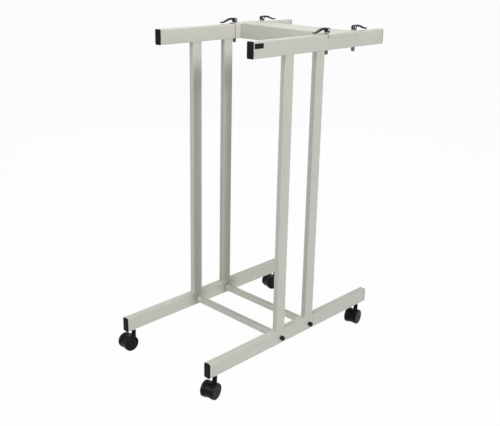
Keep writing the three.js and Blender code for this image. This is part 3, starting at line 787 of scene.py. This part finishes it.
# Black anodised casting: charcoal metal, satin, a little lighter where tumbling thinned the film,
# in patches about 4 mm across.
black_casting, tree, shader, place = new_finish("black_anodised_casting", {"Metallic": 0.6})
tumbled = add_node(
    tree, "ShaderNodeTexNoise", {"Scale": 1 / (4 * MM), "Detail": 4.0}, {"Vector": place}
).outputs["Fac"]
tone = add_node(
    tree,
    "ShaderNodeMix",
    {6: from_hex("#131314"), 7: from_hex("#262628")},
    {"Factor": tumbled},
    data_type="RGBA",
).outputs[2]
gloss = add_node(
    tree, "ShaderNodeMapRange", {"To Min": 0.22, "To Max": 0.36}, {"Value": tumbled}
).outputs["Result"]
skin = add_node(
    tree, "ShaderNodeBump", {"Strength": 0.15, "Distance": 0.2 * MM}, {"Height": tumbled}
).outputs["Normal"]
tree.links.new(tone, shader.inputs["Base Color"])
tree.links.new(gloss, shader.inputs["Roughness"])
tree.links.new(skin, shader.inputs["Normal"])

along, rise, width, thickness = (value * MM for value in BLADE[0])
begin(
    "cube",
    size=1,
    location=(0, -(ROOT_START + along) / 2, rise),
    stretch=(width, along - ROOT_START, thickness),
)
pick("FACE", lambda where, way: way.y < -0.9)
for station in BLADE[1:]:
    next_along, next_rise, next_width, next_thickness = (value * MM for value in station)
    step = (0, along - next_along, next_rise - rise)
    bpy.ops.mesh.extrude_region_move(TRANSFORM_OT_translate={"value": step})
    bpy.ops.transform.resize(
        value=(next_width / width, 1, next_thickness / thickness),
        center_override=(0, -next_along, next_rise),
    )
    along, rise, width, thickness = next_along, next_rise, next_width, next_thickness
pick("EDGE", lambda where, way: abs(way.y) > 0.5)
bpy.ops.mesh.bevel(offset=BLADE_EDGE, segments=2, affect="EDGES")
modify("SUBSURF", levels=2, render_levels=2)
lever = bpy.context.object
for sign in SIDES.values():
    begin(
        "cylinder",
        vertices=64,
        radius=CAM_RADIUS,
        depth=CHEEK_WIDTH,
        location=(sign * (CHEEK_GAP + CHEEK_WIDTH) / 2, 0, -CAM_SHIFT),
        rotation=TURNS["X"],
    )
    combine(lever, close_mesh(), "UNION")
activate(lever)
modify("REMESH", mode="VOXEL", voxel_size=LEVER_GRID)
modify("SMOOTH", factor=0.5, iterations=3)
modify("DECIMATE", ratio=0.4)
drill(lever, (0, 0, 0), "X", BARREL_DIAMETER + 2 * BARREL_CLEARANCE, 2 * BARREL_LENGTH)
for key, where in clamp_places.items():
    copy_to(
        lever,
        where,
        f"{key}_lever_casting",
        black_casting,
        f"{key}_lever",
        "black_alloy",
        f"{key}_cam_lever",
        angle=50,
    )
bpy.data.objects.remove(lever)

# Castor stems
# A zinc-plated steel stem screws up into the rail, with a hexagon collar under it. The plain end
# below the collar turns in the castor's neck. The CAD stem has the right shape and stays.
for side in SIDES:
    for end in ENDS:
        stem = frame["nodes"][f"{side}_{end}_castor_stem"]
        stem.data.materials.clear()
        stem.data.materials.append(zinc_plate)

# Castor bodies
# A black nylon moulding: a slim hood between the wheels that rises into a round neck, with the axle
# through it. It swivels on the stem.
HOOD_RADIUS, HOOD_WIDTH, HOOD_SKIRT = 25.5 * MM, 19.4 * MM, 20 * MM
NECK_DIAMETER, NECK_DROP, PIVOT_HOLE, PIVOT_DEPTH = 14 * MM, 4.8 * MM, 8.6 * MM, 19.3 * MM
NECK_ROUND, NECK_EDGE = 5.6 * MM, 2 * MM
AXLE_DIAMETER, AXLE_LENGTH, AXLE_EDGE = 8 * MM, 36 * MM, 0.5 * MM
HOOD_GRID = 0.6 * MM

# Glass-filled nylon, moulded: black, satin, with fine flow mottle about 2 mm across.
black_nylon, tree, shader, place = new_finish(
    "black_glass_filled_nylon", {"IOR": 1.53, "Specular IOR Level": 0.1}
)
mottle = add_node(
    tree, "ShaderNodeTexNoise", {"Scale": 1 / (2 * MM), "Detail": 3.0}, {"Vector": place}
).outputs["Fac"]
tone = add_node(
    tree,
    "ShaderNodeMix",
    {6: from_hex("#08080A"), 7: from_hex("#111112")},
    {"Factor": mottle},
    data_type="RGBA",
).outputs[2]
gloss = add_node(
    tree, "ShaderNodeMapRange", {"To Min": 0.26, "To Max": 0.42}, {"Value": mottle}
).outputs["Result"]
skin = add_node(
    tree, "ShaderNodeBump", {"Strength": 0.15, "Distance": 0.2 * MM}, {"Height": mottle}
).outputs["Normal"]
tree.links.new(tone, shader.inputs["Base Color"])
tree.links.new(gloss, shader.inputs["Roughness"])
tree.links.new(skin, shader.inputs["Normal"])

stem_foot = Vector((*joints["right_front_swivel"]["pos_m"][:2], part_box("right_rail")[0].z))
axle = Vector(joints["right_front_left_roll"]["pos_m"])
trail = (axle - stem_foot).xy.length
axle_drop = stem_foot.z - axle.z
begin(
    "cylinder",
    vertices=128,
    radius=HOOD_RADIUS,
    depth=HOOD_WIDTH,
    location=(trail, 0, -axle_drop),
    rotation=TURNS["Y"],
)
bpy.ops.mesh.bisect(
    plane_co=(0, 0, -axle_drop - HOOD_SKIRT), plane_no=(0, 0, -1), use_fill=True, clear_outer=True
)
hood = close_mesh()
neck_foot = NECK_DROP + NECK_DIAMETER / 2
begin(
    "cube",
    size=1,
    location=((trail - NECK_DIAMETER / 2) / 2, 0, -(neck_foot + axle_drop + HOOD_SKIRT) / 2),
    stretch=(trail + NECK_DIAMETER / 2, HOOD_WIDTH, axle_drop + HOOD_SKIRT - neck_foot),
)
# The block's lower front edge goes back to the skirt, and its top narrows to the neck
pick("EDGE", lambda where, way: where.x < 0 and where.z < -axle_drop)
skirt_front = trail - math.sqrt(HOOD_RADIUS**2 - HOOD_SKIRT**2) + NECK_DIAMETER / 2
bpy.ops.transform.translate(value=(skirt_front, 0, 0))
pick(
    "EDGE",
    lambda where, way: where.x > NEAR and where.z > -neck_foot - NEAR and abs(way.y) > 0.9,
)
bpy.ops.transform.translate(value=(NECK_DIAMETER / 2 - trail, 0, 0))
pick("FACE", lambda where, way: way.z > 0.9)
bpy.ops.transform.resize(
    value=(1, NECK_DIAMETER / HOOD_WIDTH, 1), center_override=(0, 0, -neck_foot)
)
pick("EDGE", lambda where, way: abs(way.z) > 0.5)
bpy.ops.mesh.bevel(offset=NECK_ROUND, segments=6, affect="EDGES")
combine(hood, close_mesh(), "UNION")
begin(
    "cylinder",
    vertices=64,
    radius=NECK_DIAMETER / 2,
    depth=axle_drop - NECK_DROP,
    location=(0, 0, -(axle_drop + NECK_DROP) / 2),
)
pick("EDGE", lambda where, way: where.z < -axle_drop + NEAR)
bpy.ops.mesh.bevel(offset=NECK_EDGE, segments=4, affect="EDGES")
combine(hood, close_mesh(), "UNION")
activate(hood)
modify("REMESH", mode="VOXEL", voxel_size=HOOD_GRID)
modify("SMOOTH", factor=0.5, iterations=6)
modify("DECIMATE", ratio=0.3)
drill(hood, (0, 0, -NECK_DROP), "Z", PIVOT_HOLE, 2 * PIVOT_DEPTH)
begin(
    "cylinder",
    vertices=48,
    radius=AXLE_DIAMETER / 2,
    depth=AXLE_LENGTH,
    location=(trail, 0, -axle_drop),
    rotation=TURNS["Y"],
)
pick("EDGE", lambda where, way: abs(where.y) > AXLE_LENGTH / 2 - NEAR)
bpy.ops.mesh.bevel(offset=AXLE_EDGE, segments=2, affect="EDGES")
combine(hood, close_mesh(), "UNION")
castor_places = {}
for side in SIDES:
    for end in ENDS:
        key = f"{side}_{end}"
        foot = Vector((*joints[f"{key}_swivel"]["pos_m"][:2], stem_foot.z))
        way = (Vector(joints[f"{key}_left_roll"]["pos_m"]) - foot).xy.normalized()
        turn = Matrix.Rotation(math.atan2(way.y, way.x), 4, "Z")
        castor_places[key] = Matrix.Translation(foot) @ turn
        copy_to(
            hood,
            castor_places[key],
            f"{key}_hood",
            black_nylon,
            f"{key}_castor",
            "castor_black",
            f"{key}_castor_body",
            angle=50,
        )
bpy.data.objects.remove(hood)

# Castor wheels
# Two black nylon wheels run side by side on each axle: a smooth tread with rounded edges, and a
# round cap sunk in the outer face with a moulded dimple at its centre.
WHEEL_DIAMETER, WHEEL_WIDTH, WHEEL_SPAN = 54 * MM, 13.5 * MM, 47 * MM
TREAD_EDGE, AXLE_BORE, BORE_DEPTH = 2.5 * MM, 8.6 * MM, 8.3 * MM
CAP_DIAMETER, CAP_STEP = 40 * MM, 0.5 * MM
# Width and rise of each ring of the outer face, from the tread inwards
FACE_RINGS = (
    ((WHEEL_DIAMETER - CAP_DIAMETER) / 2 - TREAD_EDGE - CAP_STEP, 0),  # flat beside the tread
    (CAP_STEP, -1 * MM),  # step down
    (0.5 * MM, 0),  # gap round the cap
    (0.6 * MM, 0.6 * MM),  # edge of the cap
    (9 * MM, 0.2 * MM),  # its slight dome
    (4 * MM, 0),  # flat round the dimple
    (0.8 * MM, -0.8 * MM),  # dimple
)
begin(
    "cylinder",
    vertices=96,
    radius=WHEEL_DIAMETER / 2,
    depth=WHEEL_WIDTH,
    location=(0, WHEEL_WIDTH / 2, 0),
    rotation=TURNS["Y"],
)
pick("EDGE", lambda where, way: where.y > WHEEL_WIDTH - NEAR)
bpy.ops.mesh.bevel(offset=TREAD_EDGE, segments=5, affect="EDGES")
pick("EDGE", lambda where, way: where.y < NEAR)
bpy.ops.mesh.bevel(offset=TREAD_EDGE / 2, segments=3, affect="EDGES")
pick("FACE", lambda where, way: way.y > 0.99)
for width, rise in FACE_RINGS:
    bpy.ops.mesh.inset(thickness=width, depth=rise)
wheel = close_mesh()
drill(wheel, (0, 0, 0), "Y", AXLE_BORE, 2 * BORE_DEPTH)
for key, where in castor_places.items():
    for side, sign in SIDES.items():
        outwards = Matrix.Rotation(0 if sign > 0 else math.pi, 4, "Z")
        on_axle = Matrix.Translation((trail, sign * (WHEEL_SPAN / 2 - WHEEL_WIDTH), -axle_drop))
        copy_to(
            wheel,
            where @ on_axle @ outwards,
            f"{key}_{side}_tyre",
            black_nylon,
            f"{key}_{side}_wheel",
            "castor_black",
            f"{key}_castor_{side}_wheel",
        )
bpy.data.objects.remove(wheel)

# Floor, light and camera
# A plain white studio floor and surround, with four softboxes: square on to the right side, in
# front, overhead and low behind. The camera stands where the photograph's edges say.
FLOOR_SIZE = 60
SEEN_LEVEL, LIT_LEVEL = 0.97, 0.02  # of the white, to the eye and as a light on the rack


def seen_directly(tree):
    """A socket at 1 for rays from the camera, mirrors or glass, and at 0 for rays that light."""
    rays = add_node(tree, "ShaderNodeLightPath").outputs
    seen = add_node(
        tree,
        "ShaderNodeMath",
        links={0: rays["Is Camera Ray"], 1: rays["Is Glossy Ray"]},
        operation="MAXIMUM",
    ).outputs[0]
    return add_node(
        tree,
        "ShaderNodeMath",
        links={0: seen, 1: rays["Is Transmission Ray"]},
        operation="MAXIMUM",
    ).outputs[0]


floor_finish = bpy.data.materials.new("white_studio_floor")
floor_finish.use_nodes = True
tree = floor_finish.node_tree
tree.nodes.clear()
share = add_node(
    tree, "ShaderNodeMath", {1: SEEN_LEVEL}, {0: seen_directly(tree)}, operation="MULTIPLY"
).outputs[0]
matt = add_node(tree, "ShaderNodeBsdfDiffuse", {"Color": from_hex("#F4F4F3")}).outputs[0]
bright = add_node(
    tree, "ShaderNodeEmission", {"Color": from_hex("#FFFFFF"), "Strength": 1.0}
).outputs[0]
surface = add_node(tree, "ShaderNodeMixShader", links={0: share, 1: matt, 2: bright}).outputs[0]
add_node(tree, "ShaderNodeOutputMaterial", links={"Surface": surface})
begin("plane", size=FLOOR_SIZE)
floor = close_mesh()
floor.name = "floor"
floor.data.materials.append(floor_finish)

world = bpy.data.worlds.new("white_surround")
world.use_nodes = True
tree = world.node_tree
tree.nodes.clear()
level = add_node(
    tree,
    "ShaderNodeMapRange",
    {"To Min": LIT_LEVEL, "To Max": SEEN_LEVEL},
    {"Value": seen_directly(tree)},
).outputs[0]
sky = add_node(
    tree, "ShaderNodeBackground", {"Color": from_hex("#FFFFFF")}, {"Strength": level}
).outputs[0]
add_node(tree, "ShaderNodeOutputWorld", links={"Surface": sky})
bpy.context.scene.world = world
bpy.context.scene.view_settings.view_transform = "Standard"

# Name, place, width, height and power of each softbox, all aimed at the middle of the rack
RACK_MIDDLE = Vector((0, 0, 0.6))
for name, spot, width, height, power in (
    ("side_softbox", (4.5, 0, 2.6), 0.6, 0.9, 116),
    ("front_softbox", (-0.4, -2.6, 1.6), 1.4, 1.4, 30),
    ("top_softbox", (0, 0, 2.8), 1.4, 1.4, 25),
    ("back_softbox", (-2.4, 2.4, 0.9), 1.4, 1.0, 20),
):
    aim = (RACK_MIDDLE - Vector(spot)).to_track_quat("-Z", "Y")
    bpy.ops.object.light_add(type="AREA", location=spot, rotation=aim.to_euler())
    softbox = bpy.context.object
    softbox.name = name
    softbox.data.shape = "RECTANGLE"
    softbox.data.size, softbox.data.size_y = width, height
    softbox.data.energy = power
# The last, at the back, only lifts the sides away from the camera, so it makes no highlight
softbox.visible_glossy = False

CAMERA_PLACE = (1.7253, -1.7795, 1.3387)
AZIMUTH, ELEVATION, ROLL = (math.radians(angle) for angle in (44.11, 17.67, 1.12))
FOCAL_PIXELS, AXIS_ABOVE_MIDDLE, IMAGE_WIDTH = 756.5, 23, 500
SENSOR_WIDTH = 36
turn = (
    Matrix.Rotation(AZIMUTH, 4, "Z")
    @ Matrix.Rotation(math.pi / 2 - ELEVATION, 4, "X")
    @ Matrix.Rotation(ROLL, 4, "Z")
)
bpy.ops.object.camera_add(location=CAMERA_PLACE, rotation=turn.to_euler())
camera = bpy.context.object
camera.data.sensor_width = SENSOR_WIDTH
camera.data.lens = SENSOR_WIDTH * FOCAL_PIXELS / IMAGE_WIDTH
camera.data.shift_y = -AXIS_ABOVE_MIDDLE / IMAGE_WIDTH
bpy.context.scene.camera = camera
